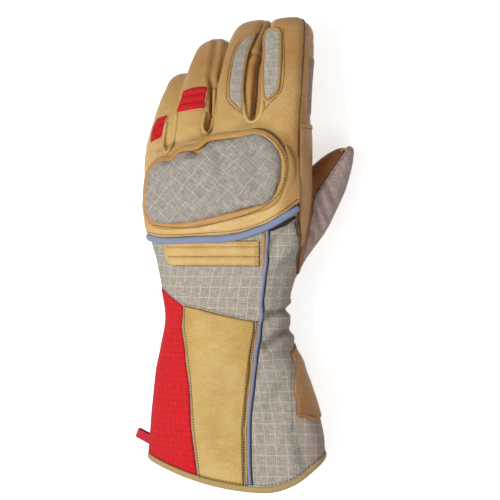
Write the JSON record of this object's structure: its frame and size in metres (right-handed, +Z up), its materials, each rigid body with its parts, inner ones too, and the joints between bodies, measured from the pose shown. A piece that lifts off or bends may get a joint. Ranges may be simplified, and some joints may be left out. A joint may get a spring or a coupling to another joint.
{
  "type": "duty glove",
  "caption": "Left-hand work gauntlet glove in leather and checked fabric, with a padded knuckle guard, a flared cuff and a hanging loop, lying palm down.",
  "frame": {"origin": "under the middle of the glove's box, on the surface that it lies on", "axes": "+Y from the hem to the fingertips, +X to the thumb side, +Z up out of the back of the hand"},
  "size_m": [0.1736, 0.3604, 0.0825],
  "materials": {
    "tan_leather": "smooth grained hide, slight sheen",
    "grey_fabric": "plain weave with a pale check",
    "red_fabric": "plain weave with a fine check",
    "blue_piping": "woven piping tape",
    "tan_binding": "folded tape, matte",
    "ribbed_grip": "finely ribbed, coated"
  },
  "bodies": {
    "root": {"hand_shell": "tan_leather", "knuckle_shell": "tan_leather", "gauntlet": "grey_fabric", "finger_index": "tan_leather", "finger_middle": "tan_leather", "finger_ring": "tan_leather", "finger_little": "tan_leather", "thumb": "tan_leather", "hem_binding": "tan_binding", "red_panel": "red_fabric", "leather_panel": "tan_leather", "palm_patch": "tan_leather", "wrist_ribs": "tan_leather", "back_panel": "tan_leather", "knuckle_guard": "grey_fabric", "guard_rim": "tan_leather", "back_piping": "blue_piping", "side_piping": "blue_piping", "side_strip": "tan_leather", "grip_strip": "ribbed_grip", "thumb_gusset": "grey_fabric", "index_patch": "grey_fabric", "middle_patch": "grey_fabric", "ring_patch": "red_fabric", "little_patch": "red_fabric", "hanging_loop": "red_fabric"}
  },
  "joints": []
}
